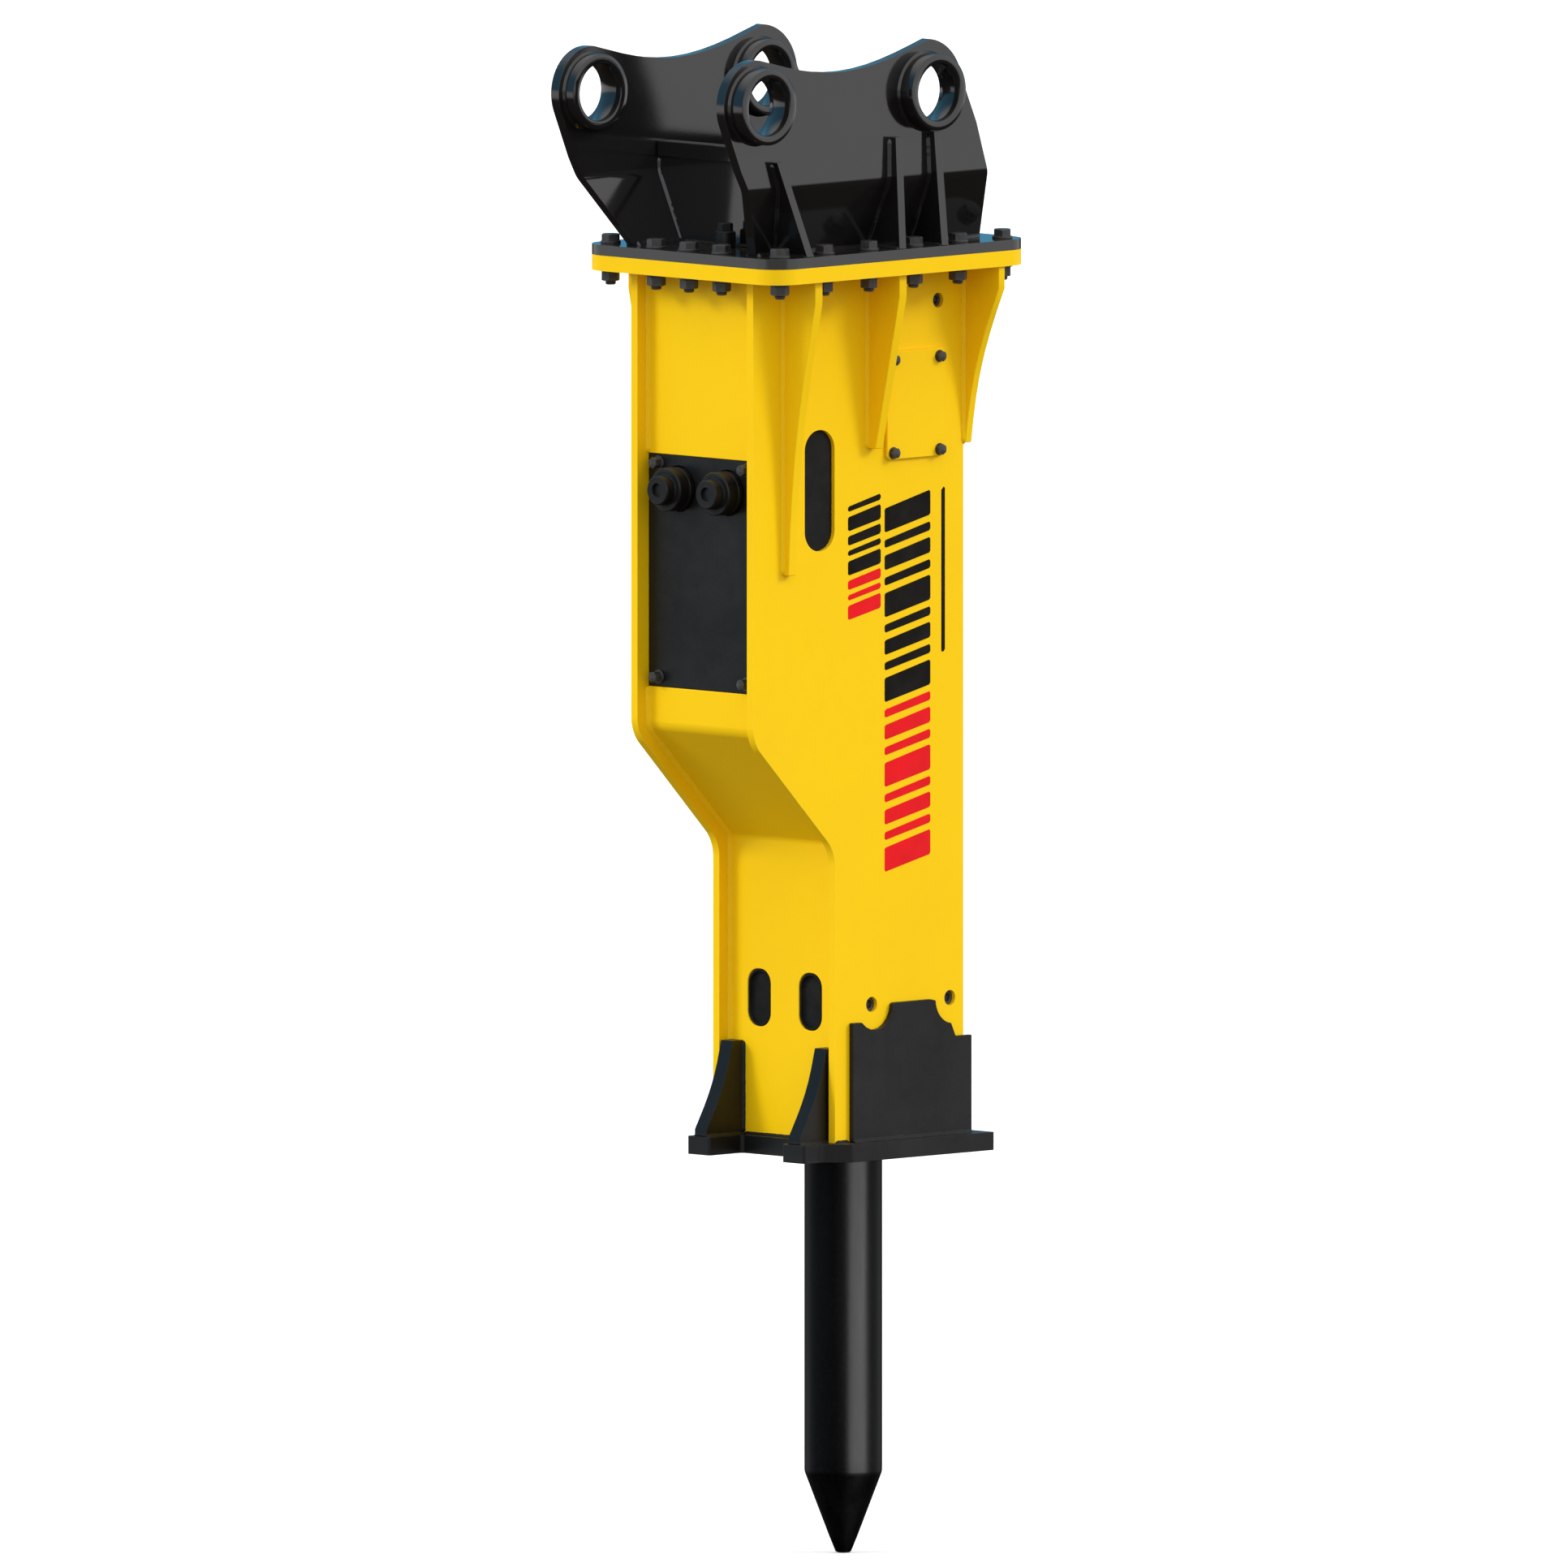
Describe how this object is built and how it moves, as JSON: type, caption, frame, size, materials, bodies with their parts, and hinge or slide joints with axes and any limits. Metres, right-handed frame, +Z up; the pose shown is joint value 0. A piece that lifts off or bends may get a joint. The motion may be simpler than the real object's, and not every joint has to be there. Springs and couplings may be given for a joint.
{
  "type": "hydraulic breaker hammer",
  "caption": "Box-housed hydraulic breaker with a pointed chisel, bolted pin-on bracket with two ears, side hatches, front hose ports and a sliding piston and tool.",
  "frame": {"origin": "midway between the two arm pin axes and between the two ears", "axes": "+Z up, opposite to the way the chisel points; +X across the ears along the arm pins; -Y towards the side with the hose ports"},
  "size_m": [0.505, 0.7559, 2.7425],
  "materials": {
    "yellow_paint": "gloss",
    "black_paint": "satin",
    "bracket_paint": "gloss",
    "bolt_steel": "satin",
    "rubber": "matte",
    "cast_steel": "cast",
    "ground_steel": "ground",
    "bronze": "machined",
    "tool_steel": "oiled"
  },
  "bodies": {
    "housing": {"side_plate_right": "yellow_paint", "side_plate_left": "yellow_paint", "front_plate_lower": "yellow_paint", "front_plate_upper": "yellow_paint", "rear_plate": "yellow_paint", "hatch_cover_right": "yellow_paint", "hatch_cover_left": "yellow_paint", "rib_front_right": "yellow_paint", "rib_front_left": "yellow_paint", "rib_rear_right": "yellow_paint", "rib_rear_left": "yellow_paint", "rear_flare_plate": "yellow_paint", "top_flange": "yellow_paint", "service_panel": "black_paint", "wear_plate_right": "black_paint", "wear_plate_left": "black_paint", "bottom_plate": "black_paint", "foot_gusset_right": "black_paint", "foot_gusset_left": "black_paint", "grease_plug": "black_paint", "pressure_port": "black_paint", "return_port": "black_paint", "bracket_base_plate": "bracket_paint", "ear_right": "bracket_paint", "ear_left": "bracket_paint", "pin_boss_front_right": "bracket_paint", "pin_boss_front_left": "bracket_paint", "pin_boss_rear_right": "bracket_paint", "pin_boss_rear_left": "bracket_paint", "ear_cross_plate_front": "bracket_paint", "ear_cross_plate_rear": "bracket_paint", "flange_bolt_front_right": "bolt_steel", "flange_bolt_front_left": "bolt_steel", "flange_bolt_rear_right": "bolt_steel", "flange_bolt_rear_left": "bolt_steel", "side_pad_right": "rubber", "side_pad_left": "rubber", "upper_damper": "rubber", "dust_seal": "rubber", "front_head": "cast_steel", "cylinder": "cast_steel", "back_head": "cast_steel", "valve_block": "cast_steel", "valve_cap": "cast_steel", "accumulator": "cast_steel", "retaining_pin_front": "ground_steel", "retaining_pin_rear": "ground_steel", "tie_rod_front_right": "ground_steel", "tie_rod_front_left": "ground_steel", "tie_rod_rear_right": "ground_steel", "tie_rod_rear_left": "ground_steel", "gas_valve": "ground_steel", "lower_bush": "bronze", "upper_bush": "bronze", "seal_retainer": "bronze"},
    "tool": {"chisel": "tool_steel"},
    "piston": {"piston": "ground_steel"},
    "spool": {"valve_spool": "ground_steel"}
  },
  "joints": [
    {"name": "tool_slide", "type": "slide", "parent": "housing", "child": "tool", "axis": [0, 0, 1], "range_m": [0, 0.09]},
    {"name": "piston_stroke", "type": "slide", "parent": "housing", "child": "piston", "axis": [0, 0, 1], "range_m": [0, 0.11]},
    {"name": "valve_shift", "type": "slide", "parent": "housing", "child": "spool", "axis": [0, 0, 1], "range_m": [0, 0.012]}
  ]
}
